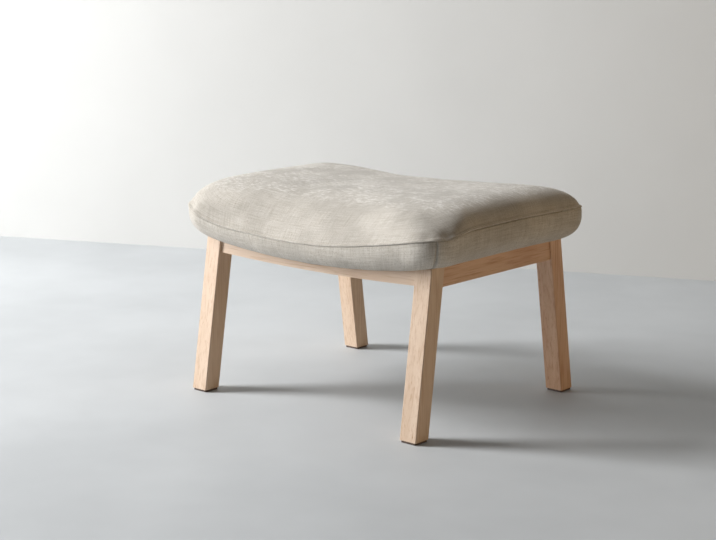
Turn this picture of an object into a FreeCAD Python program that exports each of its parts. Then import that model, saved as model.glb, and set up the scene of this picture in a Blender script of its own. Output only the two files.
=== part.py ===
import FreeCAD, Part
import math
import os

# Frame: origin on the floor at the centre, X along the long side, Y front to back, Z up.
# All sizes are in millimetres and all angles in degrees.

# Cushion outline and padding
cushion_length = 614.0
cushion_depth = 453.6
cushion_corner_radius = 56.0
corner_tuck = 2.0
band_height = 39.0
seam_rise = 45.0
crown_height = 81.5
crown_dome = 11.0
shoulder_width = 75.0
end_fullness = 3.28
end_roundness = 2.43
end_face_height = 14.0
band_fullness = 0.24
section_shares = [0.34, 0.56, 0.71, 0.81, 0.885, 0.94, 0.977, 0.9995]
arc_parts = 3
inner_facets = 3

# Layers of the cushion
cover_thickness = 1.6
seat_base_thickness = 12.0
seat_base_corner_cut = 10.0
edge_roll = 3.0
hem_width = 34.0
dust_cover_thickness = 0.8

# Saddle of the seat: height of its underside in the middle, and how much it rises to the frame's ends
seat_height = 268.0
seat_rise = 24.0

# Overhang of the cushion past the frame, measured at the height of the frame's raised ends
end_overhang = 43.0
side_overhang = 38.0

# Legs
leg_section = 35.0
leg_edge_cut = 1.2
leg_lean_x = 0.6
leg_lean_y = 8.6

# Rails, their lower edges measured down from the middle of the seat's underside
rail_thickness = 20.0
long_rail_setback = 5.0
side_rail_setback = 3.0
long_rail_drop = 14.0
long_rail_rise = 7.0
side_rail_drop = 11.5

# Tenons at the rail ends
tenon_thickness = 9.0
tenon_length = 15.0
tenon_shoulder = 3.5
tenon_clearance = 0.1

# Corner blocks, the bolts through them into the legs, and the screws up into the seat
block_reach = 66.0
block_width = 26.0
block_drop = 9.0
bolt_diameter = 6.0
bolt_rise = 2.0
bolt_depth_in_leg = 13.0
bolt_head_across = 10.0
bolt_head_height = 4.0
screw_diameter = 4.0
screw_head_across = 7.0
screw_head_height = 2.6
screw_offset = 8.0
screw_grip = 9.0
hole_clearance = 0.1

# Foot pads and dust cover
glide_thickness = 4.0
glide_inset = 1.5
glide_chamfer = 2.0
dust_cover_gap = 3.0

CORNERS = {
    "front_left": (-1, -1),
    "front_right": (1, -1),
    "back_left": (-1, 1),
    "back_right": (1, 1),
}


def vec(x, y, z):
    return FreeCAD.Vector(x, y, z)


def line(start, end):
    return Part.LineSegment(start, end).toShape()


def polygon_prism(points, low, high):
    """A flat polygon in plan, given as (x, y) points, drawn up from one height to another."""
    corners = [vec(x, y, low) for x, y in points]
    wire = Part.makePolygon(corners + corners[:1])
    return Part.Face(wire).extrude(vec(0, 0, high - low))


def upright_prism(outline, along):
    """A polygon of (offset, height) points, drawn through the whole frame along X or Y."""
    reach = cushion_length
    if along == "x":
        points = [vec(-reach, offset, z) for offset, z in outline]
        travel = vec(2 * reach, 0, 0)
    else:
        points = [vec(offset, -reach, z) for offset, z in outline]
        travel = vec(0, 2 * reach, 0)
    return Part.Face(Part.makePolygon(points + points[:1])).extrude(travel)


def mirrored(shape, side, normal):
    """The shape itself on the positive side, or its mirror image on the negative side."""
    if side > 0:
        return shape
    return shape.mirror(vec(0, 0, 0), normal)


def upright_edges(shape):
    return [e for e in shape.Edges if abs(e.tangentAt(e.FirstParameter).z) > 0.9]


# Saddle surfaces

def arc_rise(x, half_span, rise):
    """How far a circular arc has climbed at x, when it climbs by rise over half_span."""
    radius = (half_span ** 2 + rise ** 2) / (2 * rise)
    return radius - math.sqrt(radius ** 2 - x ** 2)


def frame_half_length():
    return cushion_length / 2 - end_overhang


def frame_half_depth():
    return cushion_depth / 2 - side_overhang


def foot_centre(side_x, side_y, z):
    """Centre of a leg's section at height z: the legs spread outwards on the way down."""
    drop = seat_height + seat_rise - z
    x = frame_half_length() - leg_section / 2 + drop * math.tan(math.radians(leg_lean_x))
    y = frame_half_depth() - leg_section / 2 + drop * math.tan(math.radians(leg_lean_y))
    return side_x * x, side_y * y


def seat_z(x):
    """Underside of the upholstered seat, where it meets the frame."""
    return seat_height + arc_rise(x, frame_half_length(), seat_rise)


def seam_z(x):
    """Height of the seam between the top panel and the bands."""
    return seat_height + band_height + arc_rise(x, cushion_length / 2, seam_rise)


def space_above(surface_z, lift=0.0):
    """All the space above a saddle surface, as one block with a curved underside."""
    reach = cushion_length
    top = seat_height + band_height + crown_height + cushion_length
    left = vec(-reach, -reach, surface_z(reach) + lift)
    right = vec(reach, -reach, surface_z(reach) + lift)
    arc = Part.Arc(left, vec(0, -reach, surface_z(0) + lift), right).toShape()
    left_top = vec(-reach, -reach, top)
    right_top = vec(reach, -reach, top)
    wire = Part.Wire([arc, line(right, right_top), line(right_top, left_top), line(left_top, left)])
    return Part.Face(wire).extrude(vec(0, 2 * reach, 0))


# Padding: one lofted form, made again with an inset for the layer inside the cover

def seam_half_depth(x, inset):
    """Half depth of the cushion at the seam, rounded in plan at the corners."""
    half_length = cushion_length / 2 - inset
    half_depth = cushion_depth / 2 - inset
    radius = cushion_corner_radius - inset
    past = max(abs(x) - (half_length - radius), 0.0)
    return half_depth - radius + math.sqrt(max(radius ** 2 - past ** 2, 0.0))


def underside_z(x, inset):
    """Lowest line of the padding: just under the seat's saddle, then curving up past the frame."""
    frame_end = frame_half_length() - inset
    trim = 2 * cover_thickness
    if abs(x) <= frame_end:
        return seat_z(x) + inset - trim
    share = (abs(x) - frame_end) / (cushion_length / 2 - inset - frame_end)
    start = seat_z(frame_end) + inset - trim
    finish = seam_z(x) - end_face_height + inset
    return start + (finish - start) * (1 - math.sqrt(max(1 - share ** 2, 0.0)))


def arc_from_tangent(start, tangent, end):
    """The arc that leaves start along tangent and reaches end, in a plane of constant X."""
    chord = end - start
    inward = vec(0, tangent.z, -tangent.y)
    if inward.dot(chord) < 0:
        inward = inward * -1
    radius = chord.dot(chord) / (2 * chord.dot(inward))
    centre = start + inward * radius
    middle = (start - centre) + (end - centre)
    middle.normalize()
    return Part.Arc(start, centre + middle * radius, end).toShape()


def cushion_section(share, inset):
    """The named lines and arcs of one upright cross-section of the padding."""
    x = share * (cushion_length / 2 - inset)
    fade = (1 - abs(share) ** end_fullness) ** (1 / end_roundness)
    seam_y = seam_half_depth(x, inset)
    bottom_y = min(frame_half_depth() - inset, seam_y - corner_tuck)
    crown_z = seam_z(x) + (crown_height - inset) * fade
    shoulder_y = seam_y - shoulder_width + inset
    shoulder_z = crown_z - crown_dome * fade
    bottom_z = underside_z(x, inset)
    turn = 2 * math.atan((crown_z - shoulder_z) / shoulder_y)

    def seam_point(side):
        return vec(x, side * seam_y, seam_z(x))

    def band(side):
        low = vec(x, side * bottom_y, bottom_z)
        chord = seam_point(side) - low
        outward = vec(0, side * chord.z, -side * chord.y)
        middle = low + chord * 0.5 + outward * band_fullness
        return Part.Arc(low, middle, seam_point(side)).toShape()

    def shoulder(side):
        start = vec(x, side * shoulder_y, shoulder_z)
        tangent = vec(0, side * math.cos(turn), -math.sin(turn))
        return arc_from_tangent(start, tangent, seam_point(side))

    right_end, left_end = vec(x, shoulder_y, shoulder_z), vec(x, -shoulder_y, shoulder_z)
    return {
        "bottom": line(vec(x, -bottom_y, bottom_z), vec(x, bottom_y, bottom_z)),
        "right_band": band(1),
        "right_shoulder": shoulder(1),
        "crown": Part.Arc(right_end, vec(x, 0, crown_z), left_end).toShape(),
        "left_shoulder": shoulder(-1),
        "left_band": band(-1),
        "seam_line": line(seam_point(-1), seam_point(1)),
    }


ABOVE_SEAM = ["seam_line", "right_shoulder", "crown", "left_shoulder"]
BELOW_SEAM = ["bottom", "right_band", "seam_line", "left_band"]
WHOLE = ["bottom", "right_band", "right_shoulder", "crown", "left_shoulder", "left_band"]


def pieces_of(edge, hidden):
    """A line as it is, an arc as shorter arcs, or as a few chords where the cover hides it."""
    if isinstance(edge.Curve, Part.Line):
        return [edge]
    if hidden:
        points = edge.discretize(inner_facets + 1)
        return [line(start, end) for start, end in zip(points, points[1:])]
    points = edge.discretize(2 * arc_parts + 1)
    trios = zip(points[::2], points[1::2], points[2::2])
    return [Part.Arc(*trio).toShape() for trio in trios]


def padding(inset, outline, hidden=False):
    """The cushion's form, whole or on one side of the seam, cut to the seat's saddle."""
    shares = [-s for s in reversed(section_shares)] + [0.0] + section_shares
    wires = []
    for share in shares:
        section = cushion_section(share, inset)
        edges = [piece for name in outline for piece in pieces_of(section[name], hidden)]
        wires.append(Part.Wire(Part.sortEdges(edges)[0]))
    return Part.makeLoft(wires, True, True).common(space_above(seat_z, inset))


# Cushion pieces

def seat_layer(blank, lift, thickness):
    """A sheet bent to the seat's saddle, its lower face at a height lift above the underside."""
    return blank.common(space_above(seat_z, lift)).cut(space_above(seat_z, lift + thickness))


def seat_panel():
    """The bent plywood panel under the foam, before its screw holes."""
    half_x = frame_half_length() - cover_thickness - edge_roll
    half_y = frame_half_depth() - cover_thickness - edge_roll
    low, high = seat_height - seat_rise, seat_height + 3 * seat_rise
    blank = Part.makeBox(2 * half_x, 2 * half_y, high - low, vec(-half_x, -half_y, low))
    blank = blank.makeChamfer(seat_base_corner_cut, upright_edges(blank))
    return seat_layer(blank, cover_thickness, seat_base_thickness)


def seat_base():
    return seat_panel().cut(seat_screws(hole_clearance))


def foam_core():
    """The padding inside the cover, rolled over the edges of the seat panel."""
    return padding(cover_thickness, WHOLE, hidden=True).cut(seat_panel())


def dust_cover():
    """A thin cloth under the seat between the rails, its corners cut clear of the blocks."""
    x, y = block_corner()
    half_x, half_y = x - dust_cover_gap, y - dust_cover_gap
    cut = block_reach + (math.sqrt(2) - 2) * dust_cover_gap
    corner = [(half_x, half_y - cut), (half_x - cut, half_y)]
    points = corner + [(-x, y) for x, y in reversed(corner)]
    points += [(-x, -y) for x, y in points]
    blank = polygon_prism(points, seat_height - seat_rise, seat_height + 3 * seat_rise)
    return seat_layer(blank, -dust_cover_thickness, dust_cover_thickness)


def hem_window():
    """The opening in the underside of the cover, inside its turned hem."""
    half_x = frame_half_length() - hem_width
    half_y = frame_half_depth() - hem_width
    low = seat_height - cover_thickness
    return Part.makeBox(2 * half_x, 2 * half_y, band_height, vec(-half_x, -half_y, low))


def end_wedge(side):
    """The space over one end of the cushion, between planes at 45 degrees through its corners."""
    reach = cushion_length / 2 + cushion_corner_radius
    half_y = cushion_depth / 2 + cushion_corner_radius
    points = [(side * reach, -half_y), (side * reach, half_y), (side * (reach - half_y), 0)]
    return polygon_prism(points, 0, cushion_length)


def cover_panels():
    """The sewn cover: a top panel, and four bands that meet at the corners."""
    inside = padding(cover_thickness, WHOLE, hidden=True)
    bands = padding(0, BELOW_SEAM).cut(inside).cut(hem_window())
    right_end, left_end = end_wedge(1), end_wedge(-1)
    long_bands = bands.cut(right_end).cut(left_end).Solids
    front, back = sorted(long_bands, key=lambda solid: solid.CenterOfMass.y)
    return {
        "cover_top": padding(0, ABOVE_SEAM).cut(inside),
        "cover_left_band": bands.common(left_end),
        "cover_right_band": bands.common(right_end),
        "cover_front_band": front,
        "cover_back_band": back,
    }


# Frame pieces

def leg_inner_x(z):
    return foot_centre(1, 1, z)[0] - leg_section / 2


def leg_inner_y(z):
    return foot_centre(1, 1, z)[1] - leg_section / 2


def long_rail_outer_y(z):
    return foot_centre(1, 1, z)[1] + leg_section / 2 - long_rail_setback


def long_rail_inner_y(z):
    return long_rail_outer_y(z) - rail_thickness


def side_rail_outer_x(z):
    return foot_centre(1, 1, z)[0] + leg_section / 2 - side_rail_setback


def side_rail_inner_x(z):
    return side_rail_outer_x(z) - rail_thickness


def leaning_slab(outer_at, inner_at, along, low, high):
    """A slab between two faces that lean with the legs, drawn along X or Y."""
    outline = [(outer_at(low), low), (outer_at(high), high), (inner_at(high), high), (inner_at(low), low)]
    return upright_prism(outline, along)


def room_between(inner_at, along, low, high):
    """The room between two facing legs."""
    return leaning_slab(inner_at, lambda z: -inner_at(z), along, low, high)


def long_rail_z(x):
    """Lower edge of a long rail."""
    return seat_height - long_rail_drop + arc_rise(x, frame_half_length(), long_rail_rise)


def side_rail_z():
    return seat_height - side_rail_drop


def tenon_pair(face_at, end_at, along, low, high, clearance):
    """The tenons at both ends of a rail, or with a clearance the mortises for them."""
    across = "y" if along == "x" else "x"
    half = tenon_thickness / 2 + clearance
    low, high = low + tenon_shoulder - clearance, high - tenon_shoulder + clearance

    def middle(z):
        return face_at(z) - rail_thickness / 2

    slab = leaning_slab(lambda z: middle(z) + half, lambda z: middle(z) - half, along, low, high)
    reach = room_between(lambda z: end_at(z) + tenon_length + clearance, across, low, high)
    return slab.common(reach).cut(room_between(end_at, across, low, high))


def long_rail_tenons(side, clearance=0.0):
    end = leg_inner_x(seat_height)
    low, high = long_rail_z(end), seat_z(end)
    pair = tenon_pair(long_rail_outer_y, leg_inner_x, "x", low, high, clearance)
    return mirrored(pair, side, vec(0, 1, 0))


def side_rail_tenons(side, clearance=0.0):
    low, high = side_rail_z(), seat_z(side_rail_inner_x(seat_height))
    pair = tenon_pair(side_rail_outer_x, leg_inner_y, "y", low, high, clearance)
    return mirrored(pair, side, vec(1, 0, 0))


def long_rail(side):
    """A long rail: saddled on top, gently arched below, with a tenon at each end."""
    low, high = long_rail_z(0), seat_height + seat_rise
    rail = leaning_slab(long_rail_outer_y, long_rail_inner_y, "x", low, high)
    rail = rail.common(room_between(leg_inner_x, "y", low, high))
    rail = rail.cut(space_above(seat_z)).common(space_above(long_rail_z))
    rail = mirrored(rail, side, vec(0, 1, 0))
    return rail.fuse(long_rail_tenons(side).Solids)


def side_rail(side):
    """A straight side rail, its ends against the leaning legs, with a tenon at each end."""
    low, high = side_rail_z(), seat_height + seat_rise
    rail = leaning_slab(side_rail_outer_x, side_rail_inner_x, "y", low, high)
    rail = rail.common(room_between(leg_inner_y, "x", low, high)).cut(space_above(seat_z))
    rail = mirrored(rail, side, vec(1, 0, 0))
    return rail.fuse(side_rail_tenons(side).Solids)


def leg(side_x, side_y):
    """A leaning leg of constant section, its top cut to the seat's saddle, with two mortises."""
    top = seat_height + seat_rise + leg_section
    foot_x, foot_y = foot_centre(side_x, side_y, glide_thickness)
    top_x, top_y = foot_centre(side_x, side_y, top)
    corner = vec(foot_x - leg_section / 2, foot_y - leg_section / 2, glide_thickness)
    foot = Part.makePlane(leg_section, leg_section, corner)
    post = foot.extrude(vec(top_x - foot_x, top_y - foot_y, top - glide_thickness))
    post = post.makeChamfer(leg_edge_cut, upright_edges(post)).cut(space_above(seat_z))
    post = post.cut(long_rail_tenons(side_y, tenon_clearance))
    return post.cut(side_rail_tenons(side_x, tenon_clearance)).cut(bolts(hole_clearance))


# Corner blocks, bolts and screws

def block_corner():
    """Where the inner faces of two rails would meet, in plan."""
    return side_rail_inner_x(seat_height), long_rail_inner_y(seat_height)


def corner_block(side_x, side_y):
    """A diagonal block between two rails, clear of the leg, with its top cut to the saddle."""
    x, y = block_corner()
    low, high = seat_height - block_drop, seat_height + seat_rise
    inner_cut = block_reach + rail_thickness
    outer_cut = inner_cut - block_width * math.sqrt(2)
    points = [(x + rail_thickness, y - inner_cut), (x + rail_thickness, y - outer_cut)]
    points += [(x - outer_cut, y + rail_thickness), (x - inner_cut, y + rail_thickness)]
    block = polygon_prism(points, low, high).cut(space_above(seat_z))
    block = block.common(leaning_slab(side_rail_inner_x, lambda z: 0, "y", low, high))
    block = block.common(leaning_slab(long_rail_inner_y, lambda z: 0, "x", low, high))
    block = mirrored(mirrored(block, side_x, vec(1, 0, 0)), side_y, vec(0, 1, 0))
    return block.cut(bolts(hole_clearance)).cut(seat_screws(hole_clearance))


def hexagon_prism(across, height, base, direction):
    radius = across / math.sqrt(3)
    turns = [math.radians(60 * i) for i in range(7)]
    wire = Part.makePolygon([vec(radius * math.cos(a), radius * math.sin(a), 0) for a in turns])
    prism = Part.Face(wire).extrude(vec(0, 0, height))
    prism.Placement = FreeCAD.Placement(base, FreeCAD.Rotation(vec(0, 0, 1), direction))
    return prism


def bolts(clearance=0.0):
    """A bolt through each block into its leg, or with a clearance the holes for the shanks."""
    x, y = block_corner()
    z = seat_height + bolt_rise
    to_leg = (leg_inner_x(z) + leg_inner_y(z) - x - y + block_reach) / math.sqrt(2)
    length = to_leg + bolt_depth_in_leg
    pieces = []
    for side_x, side_y in CORNERS.values():
        seat = vec(side_x * (x - block_reach / 2), side_y * (y - block_reach / 2), z)
        inward = vec(side_x, side_y, 0)
        bolt = Part.makeCylinder(bolt_diameter / 2 + clearance, length + clearance, seat, inward)
        if not clearance:
            head = hexagon_prism(bolt_head_across, bolt_head_height, seat, inward * -1)
            bolt = bolt.fuse(head).removeSplitter()
        pieces.append(bolt)
    return Part.makeCompound(pieces)


def seat_screws(clearance=0.0):
    """A screw up through each block into the seat panel, or with a clearance the holes."""
    x, y = block_corner()
    middle = (block_reach - block_width / math.sqrt(2)) / 2
    shift = screw_offset / math.sqrt(2)
    bottom = seat_height - block_drop
    length = seat_z(x - middle - shift) + cover_thickness + screw_grip - bottom + clearance
    pieces = []
    for side_x, side_y in CORNERS.values():
        seat = vec(side_x * (x - middle - shift), side_y * (y - middle + shift), bottom)
        screw = Part.makeCylinder(screw_diameter / 2 + clearance, length, seat)
        if not clearance:
            head = hexagon_prism(screw_head_across, screw_head_height, seat, vec(0, 0, -1))
            screw = screw.fuse(head).removeSplitter()
        pieces.append(screw)
    return Part.makeCompound(pieces)


# Feet

def glide(side_x, side_y):
    """A foot pad a little smaller than the leg's section, with cut corners."""
    x, y = foot_centre(side_x, side_y, glide_thickness)
    size = leg_section - 2 * glide_inset
    pad = Part.makeBox(size, size, glide_thickness, vec(x - size / 2, y - size / 2, 0))
    return pad.makeChamfer(glide_chamfer, upright_edges(pad))


def all_parts():
    """Every node of the footstool, by name."""
    parts = {
        "front_rail": long_rail(-1),
        "back_rail": long_rail(1),
        "left_rail": side_rail(-1),
        "right_rail": side_rail(1),
        "corner_bolts": bolts(),
        "seat_screws": seat_screws(),
        "seat_base": seat_base(),
        "foam_core": foam_core(),
        "dust_cover": dust_cover(),
    }
    parts.update(cover_panels())
    for name, corner in CORNERS.items():
        parts["leg_" + name] = leg(*corner)
        parts["glide_" + name] = glide(*corner)
        parts["corner_block_" + name] = corner_block(*corner)
    return parts


os.makedirs("parts", exist_ok=True)
for node, shape in all_parts().items():
    solids = shape.Solids
    result = solids[0] if len(solids) == 1 else Part.makeCompound(solids)
    result.exportStep("parts/" + node + ".step")
    print(node, len(solids), round(result.Volume), result.isValid())
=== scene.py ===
import math

import bmesh
import bpy
import numpy as np
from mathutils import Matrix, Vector
from mathutils.bvhtree import BVHTree


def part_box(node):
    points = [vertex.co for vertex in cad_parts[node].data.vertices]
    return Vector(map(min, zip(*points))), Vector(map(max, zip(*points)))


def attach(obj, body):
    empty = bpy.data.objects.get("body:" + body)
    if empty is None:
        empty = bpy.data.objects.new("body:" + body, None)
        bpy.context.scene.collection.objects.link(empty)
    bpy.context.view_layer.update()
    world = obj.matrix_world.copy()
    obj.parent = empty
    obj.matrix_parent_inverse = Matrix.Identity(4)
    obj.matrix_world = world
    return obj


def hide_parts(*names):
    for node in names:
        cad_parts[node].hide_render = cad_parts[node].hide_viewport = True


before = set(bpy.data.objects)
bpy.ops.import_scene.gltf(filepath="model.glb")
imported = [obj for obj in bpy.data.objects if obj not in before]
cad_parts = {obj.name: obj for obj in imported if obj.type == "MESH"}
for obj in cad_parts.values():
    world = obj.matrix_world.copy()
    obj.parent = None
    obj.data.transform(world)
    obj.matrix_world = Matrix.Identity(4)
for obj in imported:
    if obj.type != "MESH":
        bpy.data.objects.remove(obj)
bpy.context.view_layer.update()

# Lengths are in metres and angles in degrees. X is the long side, Y front to back, Z up.

# Cover and seat
cover_thickness = 0.0016
edge_roll = 0.003
seat_rise = 0.024
seat_base_thickness = 0.012

# Sizes from the frame
top_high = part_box("cover_top")[1]
seat_low, seat_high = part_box("seat_base")
half_length = top_high.x
half_depth = top_high.y
frame_half_length = seat_high.x + cover_thickness + edge_roll
frame_half_depth = seat_high.y + cover_thickness + edge_roll
seat_height = seat_low.z - cover_thickness

# Cushion form
corner_radius = 0.0568
inner_corner_radius = 0.19
corner_spread = 0.6
largest_radius_share = 0.98
seam_middle = 0.307
seam_rise = 0.0434
seam_power = 2.16
end_seam_lift = 0.0016
end_lift_power = 6
tilt = 0.0024
crown_height = 0.0806
end_powers = (3.28, 2.43)
side_powers = (4.81, 1.056)
way_power = 3.6
bottom_corner_radius = 0.012
band_fullness = 0.24
band_length = 0.062
hem_width = 0.034
hem_gap = 0.0002

# Soft hills that set the sewn cover off from its even form, each with place, width and height
front_seam_hills = [(0.17, 0.1, 0.0036), (-0.205, 0.07, -0.0055)]
right_seam_hills = [(0.0, 0.1, 0.0015), (-0.188, 0.032, -0.0075)]
crown_hills = [(0.02, 0.07, 0.0022), (0.2, 0.07, -0.0026)]

# The share towards its side at which a seam's hills start to rise, and over how much they do
front_seam_reach = (0.3, 0.7)
right_seam_reach = (0.7, 0.3)

# Tables of the crown's profile
profile_ways = 21
profile_samples = 601
profile_steps = 4001
profile_step_power = 4

# Cushion mesh: cells along X and Y, rows down the bands, and finer lines at distances from a seam
sim_cells = (56, 42)
fine_cells = (116, 88)
sim_rows = 9
fine_rows = 20
hem_rows = [0.03, 0.07, 0.12, 0.4, 0.7, 1.0]
edge_distances = [0.0, 0.0004, 0.0010, 0.0018, 0.0030, 0.0042, 0.0056, 0.0075, 0.0105]
band_names = ["front_band", "right_band", "back_band", "left_band"]

# Unevenness of the padding
rumple_height = 0.0004
rumple_waves = 9
rumple_lengths = (0.035, 0.13)
top_rumple_start = 0.02
band_rumple_start = 0.015

# Gathers beside the seam
pucker_height = 0.0005
pucker_waves = 7
pucker_lengths = (0.011, 0.034)
pucker_divisor = 5
pucker_start = 0.004
pucker_reach = 0.02

# Sewn edges: the hollows have their distances in from the corner along X and Y, and a depth
seam_lip = 0.002
lip_width = 0.0035
edge_turn = 0.0013
corner_hollows = [(0.031, 0.0065, 0.0028), (0.0065, 0.031, 0.0028)]
hollow_width = 0.009
hollow_start = 0.004
groove_width = 0.0015
groove_depth = 0.0016
groove_gain = 0.0022

# Lower edge of the cover: how far each row beside it takes part in its unevenness
edge_unevenness = 0.0014
edge_wave_rate = 2
edge_row_shares = {-2: 0.3, -1: 0.7, 0: 1.0, 1: 0.6}
edge_softenings = 3
edge_fade = 0.006

# Seeds of the random draws
top_rumple_seed = 3
top_pucker_seed = 5
band_rumple_seed = 11
band_pucker_seed = 21
edge_seed = 31

# Cloth simulation
padding_hold = 0.22
start_inset = 0.001
start_inset_reach = 0.04
largest_move = 0.004
cloth_frames = 20
cloth_settings = {
    "quality": 6,
    "mass": 0.3,
    "tension_stiffness": 18,
    "compression_stiffness": 18,
    "shear_stiffness": 8,
    "bending_stiffness": 0.6,
    "use_pressure": True,
    "uniform_pressure_force": 4.0,
}

# Padding
foam_inset = 0.0035
foam_gap = 0.0003
foam_floor_rings = 10
foam_floor_scales = (0.95, 0.05)

# Stitches: the points have their share of the length, and their lift over the cloth in thread radii
stitch_pitch = 0.0038
stitch_length = 0.0027
stitch_distance = 0.0042
stitch_points = [(-0.5, -0.3), (-0.25, 0.5), (0.25, 0.5), (0.5, -0.3)]
thread_radius = 0.0003
rod_sides = 6
rod_end_share = 0.6

# Staples
staple_width = 0.010
staple_wire = 0.0006
staple_pitch = 0.042
staple_edge_gap = 0.006
staple_corner_gap = 0.06
staple_stand_share = 0.45


def colour(red, green, blue):
    """A colour given in the 0 to 255 values that a screen shows, as light."""
    values = [value / 255 for value in (red, green, blue)]
    return tuple([v / 12.92 if v <= 0.04045 else ((v + 0.055) / 1.055) ** 2.4 for v in values] + [1.0])


# Finishes
fabric_deep = colour(203, 200, 194)
fabric_pale = colour(220, 217, 211)
fabric_line = colour(238, 236, 233)
# Painted sheen: the pale colour that the brushed streaks of the nap take where the cloth faces up
fabric_nap_sheen = colour(243, 242, 239)
fabric_fleck = colour(218, 214, 208)
fabric_gap = colour(232, 229, 225)
warp_scale = 260.0
weft_scale = 299.0
# How strongly the painted nap sheen shows, and the upward facing over which it fades in
nap_sheen_strength = 0.7
nap_sheen_facing = (0.84, 0.98)
thread_dark = colour(196, 186, 170)
thread_light = colour(222, 214, 202)
wood_light = [colour(213, 190, 168), colour(204, 179, 155), colour(190, 160, 134)]
wood_rosy = [colour(214, 180, 151), colour(203, 165, 135), colour(184, 139, 109)]
wood_plain = [colour(216, 190, 150), colour(204, 172, 130), colour(186, 150, 108)]
wood_pore = colour(222, 204, 188)
frame_roughness = 0.46
block_roughness = 0.6
plywood_deep = colour(206, 176, 138)
plywood_pale = colour(226, 202, 168)
plywood_line = colour(168, 130, 90)
foam_pale = colour(236, 228, 202)
foam_deep = colour(226, 214, 180)
foam_pore = colour(196, 182, 148)
dust_cloth_deep = colour(30, 29, 29)
dust_cloth_pale = colour(52, 50, 49)
dust_cloth_dot = colour(22, 21, 21)
steel_bright = colour(206, 206, 200)
steel_dull = colour(182, 184, 184)
foot_pad_deep = colour(66, 50, 42)
foot_pad_pale = colour(86, 68, 58)
foot_pad_scuff = colour(120, 102, 90)

# Steps from one piece's texture to the next one's, so that no two are alike
fabric_step = (0.29, 0.53, 0.17)
node_step = (0.37, 0.61, 0.23)

# Floor and wall
floor_deep = colour(183, 187, 190)
floor_pale = colour(195, 199, 202)
floor_roughness = 0.62
floor_cloud_scale = 1.6
floor_radius = 2.8
floor_sides = 96
wall_deep = colour(193, 194, 193)
wall_pale = colour(199, 200, 199)
wall_roughness = 0.9
wall_cloud_scale = 0.9
wall_middle = Vector((-0.85, 0.941, 0))
wall_turn = 22.67
wall_half_width = 1.8
wall_height = 2.2

# Room light: warm from directions whose Z is under one height, and cool from over the other
room_warm = (1.0, 0.76, 0.56, 1)
room_cool = (0.86, 0.93, 1.0, 1)
room_warm_height = 0.05
room_cool_height = 0.75
room_light = 0.06
background_grey = colour(214, 215, 214)

# Lights: place, target, size, watts and tint
window_tint = (1.0, 0.99, 0.98)
warm_tint = (1.0, 0.58, 0.12)
lights = {
    "window": ((-2.51, -1.76, 1.8), (0, 0, 0.9), (1.0, 3.4), 232, window_tint),
    "overhead": ((-0.9, -0.5, 2.7), (0, 0, 0), (2.4, 2.4), 8, window_tint),
    "back_fill": ((0.4, 2.9, 0.9), (0, 0, 0.3), (2.2, 1.4), 12, window_tint),
    "warm_fill": ((2.3, 0.5, 0.3), (0, 0, 0.3), (1.4, 0.55), 6.5, warm_tint),
}

# Camera, with its lens and sensor in millimetres
camera_place = (1.8823, -2.2461, 0.8199)
camera_azimuth = 40.85
camera_elevation = 11.44
camera_lens = 81.74
camera_sensor = 36.0

# The least divisors, which keep a division by nothing away
tiny = 1e-9
tiny_normal = 1e-12


# Curves

def smooth(t):
    t = np.clip(t, 0.0, 1.0)
    return t * t * (3 - 2 * t)


def fade(t, start, width):
    """0 up to the start, 1 from one width further, and smooth between."""
    return smooth((t - start) / width)


def bump(t):
    return np.exp(-t * t)


def hills(t, table):
    """The sum of soft hills along t, each given as place, width and height."""
    return sum(height * bump((t - place) / width) for place, width, height in table)


def arc_rise(x, half_span, rise):
    radius = (half_span ** 2 + rise ** 2) / (2 * rise)
    return radius - np.sqrt(np.maximum(radius ** 2 - x ** 2, 0))


def seat_z(x):
    return seat_height + arc_rise(x, frame_half_length, seat_rise)


def running_total(steps):
    return np.concatenate([[0], np.cumsum(steps)])


def lengths_along(points):
    """How far along their line the points lie."""
    return running_total(np.linalg.norm(np.diff(points, axis=0), axis=-1))


# Cushion surface over the square of shares a (along X) and b (along Y), each from -1 to 1

def larger_share(a, b):
    return np.maximum(np.maximum(np.abs(a), np.abs(b)), tiny)


def rounded_plan(a, b, half_x, half_y, radius):
    """Nested rectangles, one for each size of the larger share, with arcs for corners."""
    size = larger_share(a, b)
    x, y = half_x * np.abs(a), half_y * np.abs(b)
    radius = np.minimum(radius, largest_radius_share * min(half_x, half_y)) * size
    centre_x, centre_y = half_x * size - radius, half_y * size - radius
    turn_x = np.clip((x - centre_x) / radius, 0, 1) * math.pi / 4
    turn_y = np.clip((y - centre_y) / radius, 0, 1) * math.pi / 4
    on_end = np.abs(a) >= np.abs(b)
    side_x = np.where(x > centre_x, centre_x + radius * np.sin(turn_x), x)
    end_y = np.where(y > centre_y, centre_y + radius * np.sin(turn_y), y)
    x = np.where(on_end, centre_x + radius * np.cos(turn_y), side_x)
    y = np.where(on_end, end_y, centre_y + radius * np.cos(turn_x))
    return np.sign(a) * x, np.sign(b) * y


def way_powers(way):
    """The two powers of the crown's profile, from the sides (way 0) to the ends (way 1)."""
    return [side + (end - side) * way for side, end in zip(side_powers, end_powers)]


def crown_tables():
    """For each way out of the middle: profile length, and size and height at steps of distance."""
    levels = 1 - np.linspace(0, 1, profile_steps) ** profile_step_power
    lengths, sizes, heights = [], [], []
    for way in np.linspace(0, 1, profile_ways):
        p, q = way_powers(way)
        height = (1 - levels ** p) ** (1 / q)
        run = levels * (half_depth + (half_length - half_depth) * way)
        distance = running_total(np.hypot(np.diff(run), np.diff(height * crown_height)))
        wanted = np.linspace(0, 1, profile_samples) ** 2 * distance[-1]
        lengths.append(distance[-1])
        sizes.append(np.interp(wanted, distance, levels))
        heights.append(np.interp(wanted, distance, height))
    return np.array(lengths), np.array(sizes), np.array(heights)


profile_lengths, profile_sizes, profile_heights = crown_tables()
end_profile, side_profile = profile_lengths[-1], profile_lengths[0]


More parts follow.
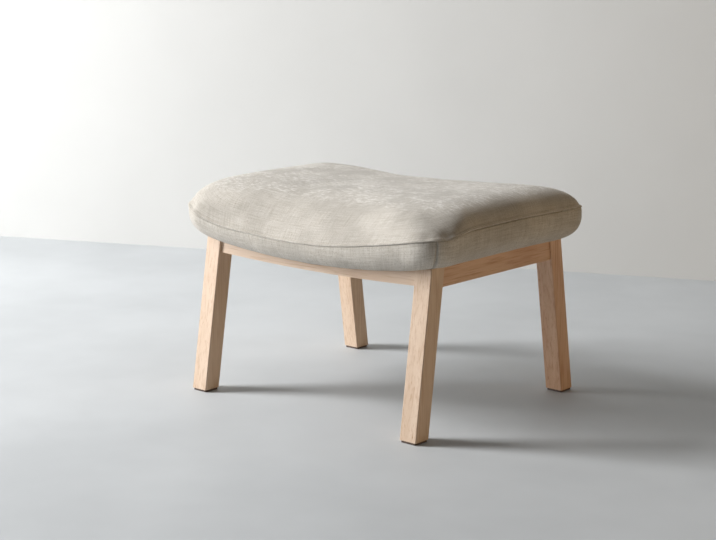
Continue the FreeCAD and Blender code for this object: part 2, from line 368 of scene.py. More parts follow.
def look_up(table, row, column):
    """A table read between its rows and columns."""
    i = np.clip(row.astype(int), 0, table.shape[0] - 2)
    j = np.clip(column.astype(int), 0, table.shape[1] - 2)
    u, v = row - i, column - j
    low = table[i, j] * (1 - v) + table[i, j + 1] * v
    high = table[i + 1, j] * (1 - v) + table[i + 1, j + 1] * v
    return low * (1 - u) + high * u


def way_of(a, b):
    """Which way out of the middle a point lies, from 0 at the sides to 1 at the ends."""
    size = larger_share(a, b)
    along, across = (np.abs(a) / size) ** way_power, (np.abs(b) / size) ** way_power
    return along / np.maximum(along + across, tiny)


def profile_length(a, b):
    """Length over the top panel from its middle to the seam, on the way of a point."""
    row = way_of(a, b) * (profile_ways - 1)
    return np.interp(row, np.arange(profile_ways), profile_lengths)


def seam_distance(a, b):
    """Distance over the top panel from a point to the seam."""
    return (1 - larger_share(a, b)) * profile_length(a, b)


def seam_drift(a, b, x, y):
    """The sewn seam wanders a little from its drawn line, on the front and on the right."""
    front = hills(x, front_seam_hills) * fade(-b, *front_seam_reach)
    return front + hills(y, right_seam_hills) * fade(a, *right_seam_reach)


def seam_z(a, b, x, y):
    share = np.abs(x) / half_length
    ends = end_seam_lift * share ** end_lift_power * (1 - b * b)
    line = seam_middle + seam_rise * share ** seam_power + tilt * x / half_length
    return line + ends + seam_drift(a, b, x, y)


def top_surface(a, b):
    """The top panel, from full in the middle down to the seam, with even cloth for even shares."""
    a, b = np.asarray(a, float), np.asarray(b, float)
    size = larger_share(a, b)
    row = way_of(a, b) * (profile_ways - 1)
    column = np.sqrt(np.clip(1 - size, 0, 1)) * (profile_samples - 1)
    level = look_up(profile_sizes, row, column)
    height = look_up(profile_heights, row, column)
    radius = corner_radius + (inner_corner_radius - corner_radius) * (1 - level) ** corner_spread
    x, y = rounded_plan(a / size * level, b / size * level, half_length, half_depth, radius)
    crown = crown_height + hills(x, crown_hills)
    return np.stack([x, y, seam_z(a, b, x, y) + crown * height], -1)


def band_surface(a, b, w):
    """The bands: from the seam at w = 0 to the edge of the frame at w = 1, bowed outwards."""
    top = top_surface(a, b)
    x, y = rounded_plan(a, b, frame_half_length, frame_half_depth, bottom_corner_radius)
    low = np.stack([x, y, seat_z(x)], -1)
    chord = top - low
    flat = chord * np.array([1, 1, 0])
    run = np.linalg.norm(flat, axis=-1, keepdims=True)
    outward = flat / np.maximum(run, tiny) * chord[..., 2:]
    outward[..., 2] = -run[..., 0]
    w = w[..., None]
    return top - chord * w + outward * (4 * band_fullness * w * (1 - w))


def hem_surface(a, b, w):
    """The turned hem under the seat, from the edge at w = 0 inwards."""
    inset = hem_width * w
    x, y = rounded_plan(a, b, frame_half_length, frame_half_depth, bottom_corner_radius)
    length = np.maximum(np.abs(x) - inset, 0)
    depth = np.maximum(np.abs(y) - inset, 0)
    length = np.minimum(length, frame_half_length - inset)
    depth = np.minimum(depth, frame_half_depth - inset)
    x, y = np.sign(x) * length, np.sign(y) * depth
    return np.stack([x, y, seat_z(x) + hem_gap], -1)


# Lines, rings and meshes

def shares(cells, length, ends=(0.0,)):
    """Shares from -1 to 1, evenly spaced but for closer ones at given distances from both ends."""
    near = 1 - np.array(ends) / length
    half = np.concatenate([near, np.linspace(near[-1], 0, cells // 2 - len(near) + 2)[1:]])
    return np.concatenate([-half[:-1], half[::-1]])


def boundary_indices(count_a, count_b):
    """The indices of a grid's outer points, anticlockwise from the front left corner."""
    front = [i * count_b for i in range(count_a - 1)]
    right = [(count_a - 1) * count_b + j for j in range(count_b - 1)]
    back = [i * count_b + count_b - 1 for i in range(count_a - 1, 0, -1)]
    left = list(range(count_b - 1, 0, -1))
    return front + right + back + left


def boundary(a_lines, b_lines):
    """The shares at those outer points."""
    grid = np.stack(np.meshgrid(a_lines, b_lines, indexing="ij"), -1).reshape(-1, 2)
    return grid[boundary_indices(len(a_lines), len(b_lines))]


def edge_position(edge):
    """Place round the square's edge, from 0 to 4, a unit a side."""
    a, b = edge[:, 0], edge[:, 1]
    place = np.where(b <= -1, (a + 1) / 2, 0)
    place = np.where((a >= 1) & (b > -1), 1 + (b + 1) / 2, place)
    place = np.where((b >= 1) & (a < 1), 2 + (1 - a) / 2, place)
    return np.where((a <= -1) & (b < 1) & (b > -1), 3 + (1 - b) / 2, place)


def surface_rows(surface, edge, shares_down):
    """Rows of points round the cushion, one for each share of the way."""
    return np.stack([surface(edge[:, 0], edge[:, 1], np.full(len(edge), w)) for w in shares_down])


def new_mesh(name, points, faces):
    mesh = bpy.data.meshes.new(name)
    mesh.from_pydata([tuple(p) for p in points], [], faces)
    mesh.validate()
    obj = bpy.data.objects.new(name, mesh)
    bpy.context.scene.collection.objects.link(obj)
    for polygon in mesh.polygons:
        polygon.use_smooth = True
    return obj


def grid_faces(rows, columns):
    """Quads over a grid of points, whose normals are the rows' way crossed with the columns' way."""
    faces = []
    for i in range(rows - 1):
        for j in range(columns - 1):
            corner = i * columns + j
            faces.append((corner + columns, corner + columns + 1, corner + 1, corner))
    return faces


def ring_faces(upper, lower):
    """Quads between two closed rings of as many points each."""
    count = len(upper)
    return [(upper[i], lower[i], lower[(i + 1) % count], upper[(i + 1) % count]) for i in range(count)]


def point_outwards(obj):
    bm = bmesh.new()
    bm.from_mesh(obj.data)
    bmesh.ops.recalc_face_normals(bm, faces=bm.faces)
    bm.to_mesh(obj.data)
    bm.free()


def surface_normals(points):
    """Unit normals of a grid of points. A corner takes its diagonal neighbour's."""
    normal = np.cross(np.gradient(points, axis=0), np.gradient(points, axis=1))
    for i, near_i in ((0, 1), (-1, -2)):
        for j, near_j in ((0, 1), (-1, -2)):
            normal[i, j] = normal[near_i, near_j]
    return normal / np.maximum(np.linalg.norm(normal, axis=-1, keepdims=True), tiny_normal)


# Cloth simulation of the whole cover on a coarse closed mesh

def run_cloth(points, faces, sewn):
    """The points after the cover is inflated, held fast where it is sewn and softly elsewhere."""
    cover = new_mesh("cover_sim", points, faces)
    point_outwards(cover)
    hold = cover.vertex_groups.new(name="hold")
    hold.add(range(len(points)), padding_hold, "REPLACE")
    hold.add(sewn, 1.0, "REPLACE")
    modifier = cover.modifiers.new("Cloth", "CLOTH")
    for setting, value in cloth_settings.items():
        setattr(modifier.settings, setting, value)
    modifier.settings.vertex_group_mass = "hold"
    modifier.settings.effector_weights.gravity = 0.0
    modifier.collision_settings.use_self_collision = False
    for number in range(1, cloth_frames + 1):
        bpy.context.scene.frame_set(number)
    evaluated = cover.evaluated_get(bpy.context.evaluated_depsgraph_get())
    moved = np.array([v.co for v in evaluated.data.vertices])
    bpy.context.scene.frame_set(1)
    bpy.data.objects.remove(cover)
    return moved


def simulate_cover():
    """How far the cover moves when it is inflated, as grids of offsets over the top and the bands."""
    a_lines = shares(sim_cells[0], end_profile)
    b_lines = shares(sim_cells[1], side_profile)
    grid_a, grid_b = np.meshgrid(a_lines, b_lines, indexing="ij")
    top = top_surface(grid_a, grid_b)
    edge = boundary(a_lines, b_lines)
    band = surface_rows(band_surface, edge, np.linspace(0, 1, sim_rows + 1))
    inset = start_inset * smooth(seam_distance(grid_a, grid_b) / start_inset_reach)
    points = list((top - surface_normals(top) * inset[..., None]).reshape(-1, 3))
    fitted = list(top.reshape(-1, 3))
    faces = grid_faces(*grid_a.shape)
    rings = [boundary_indices(*grid_a.shape)]
    for row in band[1:]:
        rings.append(list(range(len(points), len(points) + len(edge))))
        points.extend(row)
        fitted.extend(row)
        faces += ring_faces(rings[-2], rings[-1])
    faces.append(tuple(rings[-1]))
    offset = run_cloth(points, faces, rings[0] + rings[-1]) - np.array(fitted)
    size = np.linalg.norm(offset, axis=1)
    print("simulated cover lies up to", round(float(size.max()) * 1000, 2), "mm from the drawn form, mean",
          round(float(size.mean()) * 1000, 2))
    offset *= np.minimum(1.0, largest_move / np.maximum(size, tiny))[:, None]
    return {"a_lines": a_lines, "b_lines": b_lines, "edge": edge,
            "top": offset[:grid_a.size].reshape(top.shape),
            "bands": np.stack([offset[ring] for ring in rings])}


def resample(field, old, new, axis):
    """A field of offsets on new lines of the same shares."""
    field = np.moveaxis(field, axis, 0)
    position = np.interp(new, old, np.arange(len(old)))
    low = np.clip(position.astype(int), 0, len(old) - 2)
    part = (position - low)[(...,) + (None,) * (field.ndim - 1)]
    return np.moveaxis(field[low] * (1 - part) + field[low + 1] * part, 0, axis)


# Relief of the sewn cloth

def rumple(u, v, seed):
    """A smooth unevenness of the padding over cloth coordinates, between about -1 and 1."""
    random = np.random.default_rng(seed)
    total = 0.0
    for _ in range(rumple_waves):
        turn, phase = random.uniform(0, 2 * math.pi, 2)
        wave = 2 * math.pi / random.uniform(*rumple_lengths)
        total = total + np.sin(wave * (math.cos(turn) * u + math.sin(turn) * v) + phase)
    return total / (rumple_waves / 2)


def seam_puckers(place, distance, seed):
    """The small gathers that the seam's thread pulls into the cloth beside it."""
    random = np.random.default_rng(seed)
    total = 0.0
    for _ in range(pucker_waves):
        wave = 2 * math.pi / random.uniform(*pucker_lengths)
        total = total + np.sin(wave * place + random.uniform(0, 2 * math.pi))
    fall = smooth(distance / pucker_start) * (1 - fade(distance, pucker_start, pucker_reach))
    return total / pucker_divisor * fall


def seam_profile(distance, lip):
    """Height of the cloth near a seam: rolled in at the edge, and raised over the seam allowance."""
    inward = 1 - np.clip(distance / edge_turn, 0, 1)
    turned = -edge_turn * (1 - np.sqrt(np.clip(1 - inward ** 2, 0, 1)))
    return turned + lip * smooth(distance / edge_turn) * (1 - fade(distance, lip_width, lip_width))


def corner_dimples(points):
    """The two small hollows that each corner's stitching pulls into the top panel."""
    total = np.zeros(points.shape[:2])
    for x, y, depth in corner_hollows:
        near = np.hypot(np.abs(points[..., 0]) - half_length + x, np.abs(points[..., 1]) - half_depth + y)
        total -= depth * bump(near / hollow_width)
    return total


def corner_groove(side, height, down):
    """The upright corner seam: a groove, deepest and widest at half its height."""
    gain = groove_gain * smooth(1 - np.abs(down / height * 2 - 1))
    return -(groove_depth + gain) * (1 - smooth(side[None, :] / (groove_width + gain)))


def soften_edge(whole, edge_row):
    """Rounds the cloth's turn under the seat, and lets its lower edge run a little uneven."""
    whole = whole.copy()
    around = lengths_along(whole[edge_row])
    waves = np.abs(rumple(around * edge_wave_rate, 0.0, edge_seed))
    for row, share in edge_row_shares.items():
        whole[edge_row + row, :, 2] += share * edge_unevenness * waves
    for _ in range(edge_softenings):
        middle = whole[edge_row - 1:edge_row + 3]
        above, below = whole[edge_row - 2:edge_row + 2], whole[edge_row:edge_row + 4]
        whole[edge_row - 1:edge_row + 3] = middle / 2 + (above + below) / 4
    return whole


# Cover panels and padding

def add_uv(obj, uv):
    """Cloth coordinates in metres, so that the weave has its real size."""
    layer = obj.data.uv_layers.new(name="cloth")
    loops = np.zeros(len(obj.data.loops), dtype=np.int32)
    obj.data.loops.foreach_get("vertex_index", loops)
    layer.data.foreach_set("uv", uv.reshape(-1, 2)[loops].ravel())


def cloth_panel(name, points, uv):
    """A panel of the cover over a grid of points on its outer face."""
    obj = new_mesh(name, points.reshape(-1, 3), grid_faces(*points.shape[:2]))
    add_uv(obj, uv)
    solidify = obj.modifiers.new("Thickness", "SOLIDIFY")
    solidify.thickness = cover_thickness
    solidify.offset = -1
    solidify.use_even_offset = False
    return obj


def make_top(sim):
    """The top panel, with the shares of its grid lines and the points of its outer face."""
    a_lines = shares(fine_cells[0], end_profile, edge_distances)
    b_lines = shares(fine_cells[1], side_profile, edge_distances)
    grid_a, grid_b = np.meshgrid(a_lines, b_lines, indexing="ij")
    points = top_surface(grid_a, grid_b)
    if sim:
        field = resample(sim["top"], sim["a_lines"], a_lines, 0)
        points = points + resample(field, sim["b_lines"], b_lines, 1)
    distance = seam_distance(grid_a, grid_b)
    u, v = points[..., 0], points[..., 1]
    place = np.where(np.abs(grid_a) > np.abs(grid_b), v, u)
    uneven = rumple_height * rumple(u, v, top_rumple_seed) * smooth(distance / top_rumple_start)
    relief = seam_profile(distance, seam_lip) + uneven
    relief = relief + pucker_height * seam_puckers(place, distance, top_pucker_seed)
    relief = relief + corner_dimples(points) * smooth(distance / hollow_start)
    points = points + surface_normals(points) * relief[..., None]
    uv = np.meshgrid(a_lines * end_profile, b_lines * side_profile, indexing="ij")
    return cloth_panel("top_panel", points, np.stack(uv, -1)), a_lines, b_lines, points


def make_bands(sim, a_lines, b_lines):
    """The four bands, with the rings of points that they are cut from and the row at the lower edge."""
    edge = boundary(a_lines, b_lines)
    corner_a, corner_b = len(a_lines) - 1, len(b_lines) - 1
    starts = [0, corner_a, corner_a + corner_b, 2 * corner_a + corner_b, 2 * (corner_a + corner_b)]
    near = np.array(edge_distances) / band_length
    rows = np.concatenate([near, np.linspace(near[-1], 1, fine_rows + 1)[1:]])
    edge_row = len(rows) - 1
    band = surface_rows(band_surface, edge, rows)
    if sim:
        field = np.concatenate([sim["bands"], sim["bands"][:, :1]], axis=1)
        field = resample(field, np.append(edge_position(sim["edge"]), 4.0), edge_position(edge), 1)
        band = band + resample(field, np.linspace(0, 1, sim_rows + 1), rows, 0)
    whole = soften_edge(np.concatenate([band, surface_rows(hem_surface, edge, hem_rows)]), edge_row)
    looped = np.concatenate([whole, whole[:, :1]], axis=1)
    down = running_total(np.linalg.norm(np.diff(looped, axis=0), axis=-1).mean(axis=1))
    seen = (1 - fade(down, down[edge_row - 2], edge_fade))[:, None]
    panels = []
    for number, (name, first, last) in enumerate(zip(band_names, starts, starts[1:])):
        points = looped[:, first:last + 1]
        along = lengths_along(points[0])
        side = np.minimum(along, along[-1] - along)
        u, v = np.meshgrid(down, along, indexing="ij")
        relief = np.minimum(seam_profile(down, 0.0)[:, None], corner_groove(side, down[edge_row], u))
        uneven = rumple_height * rumple(u, v, band_rumple_seed + number) * smooth(u / band_rumple_start)
        relief = relief + uneven + pucker_height * seam_puckers(v, u, band_pucker_seed + number)
        points = points + surface_normals(points) * (relief * seen)[..., None]
        panels.append(cloth_panel(name, points, np.stack([v - along[-1] / 2, u], -1)))
    return panels, whole, edge_row


def make_foam(top_points, whole, edge_row):
    """The padding: the cover's form, a little smaller, and cut below to lie on the bent plywood."""
    points = list(top_points.reshape(-1, 3))
    faces = grid_faces(*top_points.shape[:2])
    ring = boundary_indices(*top_points.shape[:2])
    scales = np.linspace(*foam_floor_scales, foam_floor_rings)
    floor_rows = [whole[edge_row] * (scale, scale, 1) for scale in scales]
    for row in [*whole[1:edge_row], *floor_rows]:
        lower = list(range(len(points), len(points) + len(ring)))
        points.extend(row)
        faces += ring_faces(ring, lower)
        ring = lower
    faces.append(tuple(ring))
    obj = new_mesh("foam_filling", points, faces)
    point_outwards(obj)
    normals = np.array([v.normal for v in obj.data.vertices])
    places = np.array([v.co for v in obj.data.vertices])
    moved = places - normals * foam_inset
    first_flat = len(points) - foam_floor_rings * len(ring)
    moved[first_flat:, :2] = places[first_flat:, :2]
    plywood = seat_z(moved[:, 0]) + cover_thickness + seat_base_thickness + foam_gap
    moved[:, 2] = np.maximum(moved[:, 2], plywood)
    moved[first_flat:, 2] = plywood[first_flat:]
    obj.data.vertices.foreach_set("co", moved.ravel())
    obj.data.update()
    return obj


# Thread and staples

def rods(name, lines, radius):
    """One mesh of short rods, each along its own points, with drawn-in ends."""
    points, faces = [], []
    for line, normal in lines:
        first = len(points)
        for k, place in enumerate(line):
            along = line[min(k + 1, len(line) - 1)] - line[max(k - 1, 0)]
            along.normalize()
            sideways = along.cross(normal).normalized()
            up = sideways.cross(along)
            thick = radius * (rod_end_share if k in (0, len(line) - 1) else 1.0)
            for turn in range(rod_sides):
                angle = 2 * math.pi * turn / rod_sides
                points.append(place + (sideways * math.cos(angle) + up * math.sin(angle)) * thick)
        for k in range(len(line) - 1):
            start = first + k * rod_sides
            for turn in range(rod_sides):
                low, high = start + turn, start + (turn + 1) % rod_sides
                faces.append((low, high, high + rod_sides, low + rod_sides))
        last = first + (len(line) - 1) * rod_sides
        faces.append(tuple(range(first + rod_sides - 1, first - 1, -1)))
        faces.append(tuple(range(last, last + rod_sides)))
    return new_mesh(name, points, faces)


def surface_tree(obj):
    return BVHTree.FromPolygons([v.co for v in obj.data.vertices], [p.vertices for p in obj.data.polygons])


def make_stitches(top_panel, a_lines, b_lines):
    """A row of topstitches in the top panel, just above the seam."""
    tree = surface_tree(top_panel)
    a, b = boundary(a_lines, b_lines).T
    scale = 1 - stitch_distance / profile_length(a, b)
    ring = top_surface(a * scale, b * scale)
    ring = np.concatenate([ring, ring[:1]])
    along = lengths_along(ring)
    lines = []
    for k in range(int(along[-1] / stitch_pitch)):
        stitch = []
        for share, lift in stitch_points:
            at = (k + 0.5) * stitch_pitch + share * stitch_length
            place = Vector([np.interp(at, along, ring[:, axis]) for axis in range(3)])
            found, normal, _, _ = tree.find_nearest(place)
            stitch.append(found + normal * lift * thread_radius)
        lines.append((stitch, normal))
    return rods("seam_stitches", lines, thread_radius)


def staple_places():
    """Points along the four sides of the dust cover, each with the way that its staple lies."""
    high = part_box("dust_cover")[1]
    half_x, half_y = high.x - staple_edge_gap, high.y - staple_edge_gap
    x_way, y_way = Vector((1, 0, 0)), Vector((0, 1, 0))
    places = []
    for sign in (-1, 1):
        for along, run, across, stand in ((x_way, half_x, y_way, half_y), (y_way, half_y, x_way, half_x)):
            reach = run - staple_corner_gap
            count = int(2 * reach / staple_pitch)
            for k in range(count + 1):
                shift = (k / count * 2 - 1) * reach
                places.append((along * shift + across * (sign * stand), along))
    return places


def make_staples():
    """The staples that hold the dust cover and the cover's hem under the seat."""
    tree = surface_tree(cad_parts["dust_cover"])
    upward = Vector((0, 0, 1))
    below = Vector((0, 0, -staple_wire * staple_stand_share))
    inside = Vector((0, 0, staple_wire))
    lines = []
    for place, along in staple_places():
        hits = [tree.ray_cast(place + along * share * staple_width, upward)[0] for share in (-0.5, 0.5)]
        if all(hits):
            first, last = hits
            lines.append(([first + inside, first + below, last + below, last + inside], along.cross(upward)))
    return rods("staples", lines, staple_wire / 2)


# Materials

class Nodes:
    """Short calls for making and joining the nodes of one tree."""

    def __init__(self, tree):
        self.tree = tree

    def node(self, kind, inputs=None, **settings):
        made = self.tree.nodes.new(kind)
        for name, value in settings.items():
            setattr(made, name, value)
        for name, value in (inputs or {}).items():
            if isinstance(value, bpy.types.NodeSocket):
                self.tree.links.new(value, made.inputs[name])
            else:
                made.inputs[name].default_value = value
        return made

    def ramp(self, value, low, high):
        """A share from 0 to 1 as the value goes from low to high."""
        inputs = {"Value": value, "From Min": low, "From Max": high}
        return self.node("ShaderNodeMapRange", inputs, interpolation_type="SMOOTHSTEP").outputs["Result"]

    def math(self, operation, first, second):
        return self.node("ShaderNodeMath", {0: first, 1: second}, operation=operation).outputs[0]

    def mix(self, share, first, second, blend="MIX"):
        made = self.node("ShaderNodeMix", {0: share, 6: first, 7: second}, data_type="RGBA", blend_type=blend)
        return made.outputs[2]


class Material(Nodes):
    """A material with short calls for the textures that the finishes share."""

    def __init__(self, name, roughness, **sockets):
        self.material = bpy.data.materials.new(name)
        self.material.use_nodes = True
        super().__init__(self.material.node_tree)
        self.shader = self.tree.nodes["Principled BSDF"]
        self.shader.inputs["Roughness"].default_value = roughness
        for socket, value in sockets.items():
            self.shader.inputs[socket.replace("_", " ")].default_value = value

    def place(self, scale=(1, 1, 1), shift=(0, 0, 0), cloth=False, turn=(0, 0, 0)):
        """Coordinates in metres, over the cloth or in the object, stretched for a texture."""
        if cloth:
            source = self.node("ShaderNodeUVMap", uv_map="cloth").outputs["UV"]
        else:
            source = self.node("ShaderNodeTexCoord").outputs["Object"]
        inputs = {"Vector": source, "Scale": scale, "Location": shift, "Rotation": turn}
        return self.node("ShaderNodeMapping", inputs).outputs["Vector"]

    def noise(self, place, scale, detail=2.0, roughness=0.5, distortion=0.0):
        inputs = {"Vector": place, "Scale": scale, "Detail": detail, "Roughness": roughness,
                  "Distortion": distortion}
        return self.node("ShaderNodeTexNoise", inputs).outputs["Fac"]

    def wave(self, place, scale, direction, distortion, detail=2.0, detail_scale=1.0):
        inputs = {"Vector": place, "Scale": scale, "Distortion": distortion, "Detail": detail,
                  "Detail Scale": detail_scale}
        return self.node("ShaderNodeTexWave", inputs, bands_direction=direction).outputs["Fac"]

    def cells(self, place, scale, randomness=1.0):
        inputs = {"Vector": place, "Scale": scale, "Randomness": randomness}
        return self.node("ShaderNodeTexVoronoi", inputs).outputs["Distance"]

    def colour(self, value):
        self.tree.links.new(value, self.shader.inputs["Base Color"])

    def vary_roughness(self, value, low, high):
        """A roughness from low to high as the value goes from 0 to 1."""
        spread = self.node("ShaderNodeMapRange", {"Value": value, "To Min": low, "To Max": high})
        self.tree.links.new(spread.outputs["Result"], self.shader.inputs["Roughness"])

    def relief(self, *layers):
        """Bumps laid over each other, each given as height, strength and distance."""
        normal = None
        for height, strength, distance in layers:
            inputs = {"Height": height, "Strength": strength, "Distance": distance}
            if normal:
                inputs["Normal"] = normal
            normal = self.node("ShaderNodeBump", inputs).outputs["Normal"]
        self.tree.links.new(normal, self.shader.inputs["Normal"])


def fabric_material(name, shift):
    """A brushed upholstery weave: fine threads both ways, slubs, a soft mottled nap, and a painted sheen of
    pale brushed streaks where the cloth faces up.
    """
    made = Material(name, roughness=0.92, Sheen_Weight=0.3, Sheen_Roughness=0.45, Specular_IOR_Level=0.2)
    cloth = made.place(cloth=True)
    warp = made.wave(cloth, warp_scale, "X", distortion=0.6, detail=1.0, detail_scale=60.0)
    weft = made.wave(cloth, weft_scale, "Y", distortion=0.6, detail=1.0, detail_scale=60.0)
    weave = made.math("MULTIPLY", warp, weft)
    slub_along = made.noise(made.place((760, 22, 1), shift, cloth=True), scale=1.0, roughness=0.6)
    slub_across = made.noise(made.place((20, 700, 1), shift, cloth=True), scale=1.0, roughness=0.6)
    fleck = made.noise(made.place(shift=shift, cloth=True), scale=420.0, roughness=0.7)
    patch = made.noise(made.place(shift=shift), scale=13.0, detail=3.0, roughness=0.55)
    strokes = made.place((80, 250, 80), shift, turn=(0, 0, 0.35))
    brushed = made.noise(strokes, scale=1.0, detail=4.0, roughness=0.65)
    normal = made.node("ShaderNodeNewGeometry").outputs["Normal"]
    upward = made.node("ShaderNodeSeparateXYZ", {0: normal}).outputs["Z"]

    base = made.mix(made.ramp(patch, 0.35, 0.68), fabric_deep, fabric_pale)
    base = made.mix(made.ramp(slub_along, 0.38, 0.66), base, fabric_line, "MULTIPLY")
    base = made.mix(made.ramp(slub_across, 0.62, 0.36), base, fabric_line, "MULTIPLY")
    # Painted sheen: the brushed streaks are laid pale only where the cloth faces up, standing in for the nap
    # catching light from above
    nap = made.math("MULTIPLY", made.ramp(brushed, 0.5, 0.6), made.ramp(patch, 0.3, 0.55))
    nap = made.math("MULTIPLY", nap, made.ramp(upward, *nap_sheen_facing))
    base = made.mix(made.math("MULTIPLY", nap, nap_sheen_strength), base, fabric_nap_sheen)
    base = made.mix(made.ramp(fleck, 0.45, 0.3), base, fabric_fleck, "MULTIPLY")
    made.colour(made.mix(made.ramp(weave, 0.5, 0.0), base, fabric_gap, "MULTIPLY"))
    made.relief((weave, 0.55, 0.00035), (slub_along, 0.5, 0.0004), (slub_across, 0.4, 0.0004),
                (patch, 0.25, 0.004))
    return made.material


def wood_material(name, along, shift, tones, roughness):
    """Straight-grained light timber with its grain along X, Y or Z."""
    made = Material(name, roughness, Specular_IOR_Level=0.35)
    long = made.place([0.025 if axis == along else 1.0 for axis in "XYZ"], shift)
    slow = made.place([0.05 if axis == along else 1.0 for axis in "XYZ"], shift)
    fibre = made.noise(long, scale=620.0, detail=3.0, roughness=0.6)
    figure = made.noise(slow, scale=52.0, distortion=0.25)
    streak = made.noise(slow, scale=300.0, roughness=0.55)
    heart = made.noise(made.place(shift=shift), scale=7.0)
    base = made.mix(made.ramp(figure, 0.32, 0.68), tones[0], tones[1])
    base = made.mix(made.math("MULTIPLY", made.ramp(streak, 0.45, 0.75), 0.8), base, tones[2])
    base = made.mix(made.math("MULTIPLY", made.ramp(heart, 0.5, 0.75), 0.35), base, tones[2])
    made.colour(made.mix(made.ramp(fibre, 0.44, 0.24), base, wood_pore, "MULTIPLY"))
    made.vary_roughness(fibre, roughness - 0.06, roughness + 0.1)
    made.relief((fibre, 0.35, 0.00025), (figure, 0.2, 0.0006))
    return made.material


def plywood_material(name):
    """Birch plywood: grain along its faces, and bands up its edges for the plies."""
    made = Material(name, roughness=0.6)
    grain = made.noise(made.place((0.06, 1, 1)), scale=260.0, detail=3.0, roughness=0.6)
    plies = made.wave(made.place(), 150.0, "Z", distortion=0.3)
    face = made.mix(made.ramp(grain, 0.3, 0.7), plywood_deep, plywood_pale)
    made.colour(made.mix(made.math("MULTIPLY", plies, 0.2), face, plywood_line))
    made.relief((grain, 0.3, 0.0003))
    return made.material


def foam_material(name):
    """Open-celled cushion foam."""
    made = Material(name, roughness=0.95)
    pores = made.cells(made.place(), 900.0)
    cloud = made.noise(made.place(), scale=18.0, detail=3.0)
    made.colour(made.mix(made.ramp(pores, 0.3, 0.0), made.mix(cloud, foam_pale, foam_deep), foam_pore))
    made.relief((pores, 0.6, 0.0005))
    return made.material


def dust_cloth_material(name):
    """Spun black cloth with a bonded dot pattern."""
    made = Material(name, roughness=0.9)
    fibres = made.noise(made.place(), scale=1400.0, detail=3.0, roughness=0.7)
    dots = made.cells(made.place(), 520.0, randomness=0.1)
    base = made.mix(made.ramp(fibres, 0.3, 0.7), dust_cloth_deep, dust_cloth_pale)
    made.colour(made.mix(made.ramp(dots, 0.32, 0.18), base, dust_cloth_dot))
    made.relief((dots, 0.5, 0.0003))
    return made.material


def steel_material(name, shift):
    """Zinc-plated steel with fine rubbing and a little dulling."""
    made = Material(name, roughness=0.34, Metallic=1.0)
    rub = made.noise(made.place((1, 1, 0.1), shift), scale=900.0, detail=3.0, roughness=0.6)
    dull = made.noise(made.place(shift=shift), scale=120.0)
    made.colour(made.mix(made.ramp(dull, 0.4, 0.7), steel_bright, steel_dull))
    made.vary_roughness(rub, 0.26, 0.46)
    made.relief((rub, 0.15, 0.0001))
    return made.material


def foot_pad_material(name, shift):
    """Dark brown moulded foot pad, scuffed in places."""
    made = Material(name, roughness=0.62)
    grain = made.noise(made.place(shift=shift), scale=700.0, detail=3.0, roughness=0.6)
    scuff = made.noise(made.place((1, 1, 3), shift), scale=90.0, detail=3.0, roughness=0.6)
    base = made.mix(made.ramp(grain, 0.35, 0.7), foot_pad_deep, foot_pad_pale)
    made.colour(made.mix(made.ramp(scuff, 0.55, 0.75), base, foot_pad_scuff))
    made.relief((grain, 0.4, 0.0002))
    return made.material


def thread_material(name):
    """Sewing thread a little warmer than the cloth, with its twist."""
    made = Material(name, roughness=0.75, Sheen_Weight=0.2)
    twist = made.noise(made.place(), scale=2600.0, detail=1.0)
    made.colour(made.mix(made.ramp(twist, 0.35, 0.65), thread_dark, thread_light))
    made.relief((twist, 0.5, 0.0002))
    return made.material


def stage_material(name, roughness, cloud_scale, deep, pale):
    """A plain surface that is seen and lit from its front, and open from behind."""
    made = Material(name, roughness)
    cloud = made.noise(made.place(), cloud_scale, detail=4.0, roughness=0.6)
    made.colour(made.mix(made.ramp(cloud, 0.3, 0.7), deep, pale))
    behind = made.node("ShaderNodeNewGeometry").outputs["Backfacing"]
    clear = made.node("ShaderNodeBsdfTransparent").outputs[0]
    choice = made.node("ShaderNodeMixShader", {0: behind, 1: made.shader.outputs[0], 2: clear})
    made.tree.links.new(choice.outputs[0], made.tree.nodes["Material Output"].inputs["Surface"])
    return made.material


def paint(obj, material):
    obj.data.materials.clear()
    obj.data.materials.append(material)


def own_shift(number, step):
    return tuple(number * part for part in step)


def dress_nodes():
    """Finishes on the pieces that keep their CAD form, each with its own cut of timber."""
    for number, (name, obj) in enumerate(sorted(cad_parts.items())):
        shift = own_shift(number, node_step)
        if name.startswith("leg_"):
            tones = wood_rosy if name == "leg_back_right" else wood_light
            paint(obj, wood_material(name, "Z", shift, tones, frame_roughness))
        elif name in ("front_rail", "back_rail"):
            paint(obj, wood_material(name, "X", shift, wood_light, frame_roughness))
        elif name in ("left_rail", "right_rail"):
            paint(obj, wood_material(name, "Y", shift, wood_rosy, frame_roughness))
        elif name.startswith("corner_block"):
            paint(obj, wood_material(name, "X", shift, wood_plain, block_roughness))
        elif name.startswith("glide"):
            paint(obj, foot_pad_material(name, shift))
        elif name in ("corner_bolts", "seat_screws"):
            paint(obj, steel_material(name, shift))
        elif name == "dust_cover":
            paint(obj, dust_cloth_material(name))
        elif name == "seat_base":
            paint(obj, plywood_material(name))


# Stage, light and camera

def add_stage():
    around = [2 * math.pi * k / floor_sides for k in range(floor_sides)]
    disc = [(floor_radius * math.cos(t), floor_radius * math.sin(t), 0) for t in around]
    floor = new_mesh("floor", disc, [tuple(range(len(disc)))])
    turn = math.radians(wall_turn)
    along = Vector((math.cos(turn), math.sin(turn), 0))
    left, right = wall_middle - along * wall_half_width, wall_middle + along * wall_half_width
    up = Vector((0, 0, wall_height))
    wall = new_mesh("wall", [left, right, right + up, left + up], [(0, 1, 2, 3)])
    paint(floor, stage_material("floor", floor_roughness, floor_cloud_scale, floor_deep, floor_pale))
    paint(wall, stage_material("wall", wall_roughness, wall_cloud_scale, wall_deep, wall_pale))


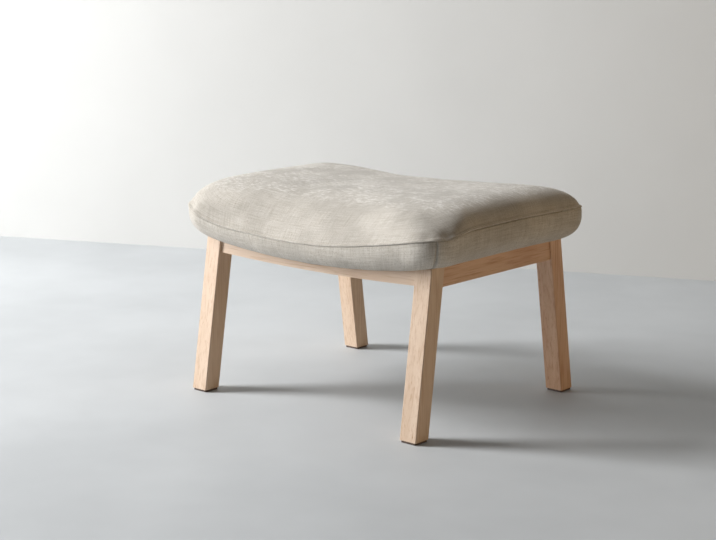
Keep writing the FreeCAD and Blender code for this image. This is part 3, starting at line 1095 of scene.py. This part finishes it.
def add_light(name, place, target, size, watts, tint):
    data = bpy.data.lights.new(name, "AREA")
    data.energy = watts
    data.shape = "RECTANGLE"
    data.size, data.size_y = size
    data.color = tint
    light = bpy.data.objects.new(name, data)
    bpy.context.scene.collection.objects.link(light)
    light.location = place
    light.rotation_mode = "QUATERNION"
    light.rotation_quaternion = (Vector(target) - Vector(place)).to_track_quat("-Z", "Y")


def add_camera():
    data = bpy.data.cameras.new("camera")
    data.lens = camera_lens
    data.sensor_width = camera_sensor
    camera = bpy.data.objects.new("camera", data)
    bpy.context.scene.collection.objects.link(camera)
    camera.location = camera_place
    pitch, yaw = math.radians(camera_elevation), math.radians(camera_azimuth)
    camera.rotation_euler = (math.pi / 2 - pitch, 0, yaw)
    bpy.context.scene.camera = camera


def add_world():
    """Dim room light: cool from above, warm from the sides, and a pale background behind everything."""
    world = bpy.data.worlds.new("world")
    world.use_nodes = True
    world.node_tree.nodes.clear()
    made = Nodes(world.node_tree)
    direction = made.node("ShaderNodeTexCoord").outputs["Generated"]
    height = made.node("ShaderNodeSeparateXYZ", {0: direction}).outputs["Z"]
    share = made.node("ShaderNodeMapRange", {"Value": height, "From Min": room_warm_height,
                                             "From Max": room_cool_height}).outputs["Result"]
    tint = made.mix(share, room_warm, room_cool)
    light = made.node("ShaderNodeBackground", {"Color": tint, "Strength": room_light}).outputs[0]
    seen = made.node("ShaderNodeBackground", {"Color": background_grey}).outputs[0]
    rays = made.node("ShaderNodeLightPath")
    either = made.math("MAXIMUM", rays.outputs["Is Camera Ray"], rays.outputs["Is Glossy Ray"])
    choice = made.node("ShaderNodeMixShader", {0: either, 1: light, 2: seen}).outputs[0]
    made.node("ShaderNodeOutputWorld", {"Surface": choice})
    bpy.context.scene.world = world


add_camera()
add_stage()
for name, settings in lights.items():
    add_light(name, *settings)
add_world()
bpy.context.scene.view_settings.view_transform = "Standard"

sim = simulate_cover()
top_panel, a_lines, b_lines, top_points = make_top(sim)
bands, whole, edge_row = make_bands(sim, a_lines, b_lines)
foam = make_foam(top_points, whole, edge_row)
stitches = make_stitches(top_panel, a_lines, b_lines)
staples = make_staples()
for number, piece in enumerate([top_panel, *bands]):
    paint(piece, fabric_material(piece.name + "_fabric", own_shift(number, fabric_step)))
paint(foam, foam_material("foam"))
paint(stitches, thread_material("thread"))
paint(staples, steel_material("staple_steel", (0, 0, 0)))
for piece in [top_panel, *bands, foam, stitches, staples]:
    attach(piece, "root")
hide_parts("foam_core")
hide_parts("cover_top")
for piece, node in zip(bands, ["cover_front_band", "cover_right_band", "cover_back_band", "cover_left_band"]):
    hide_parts(node)
dress_nodes()
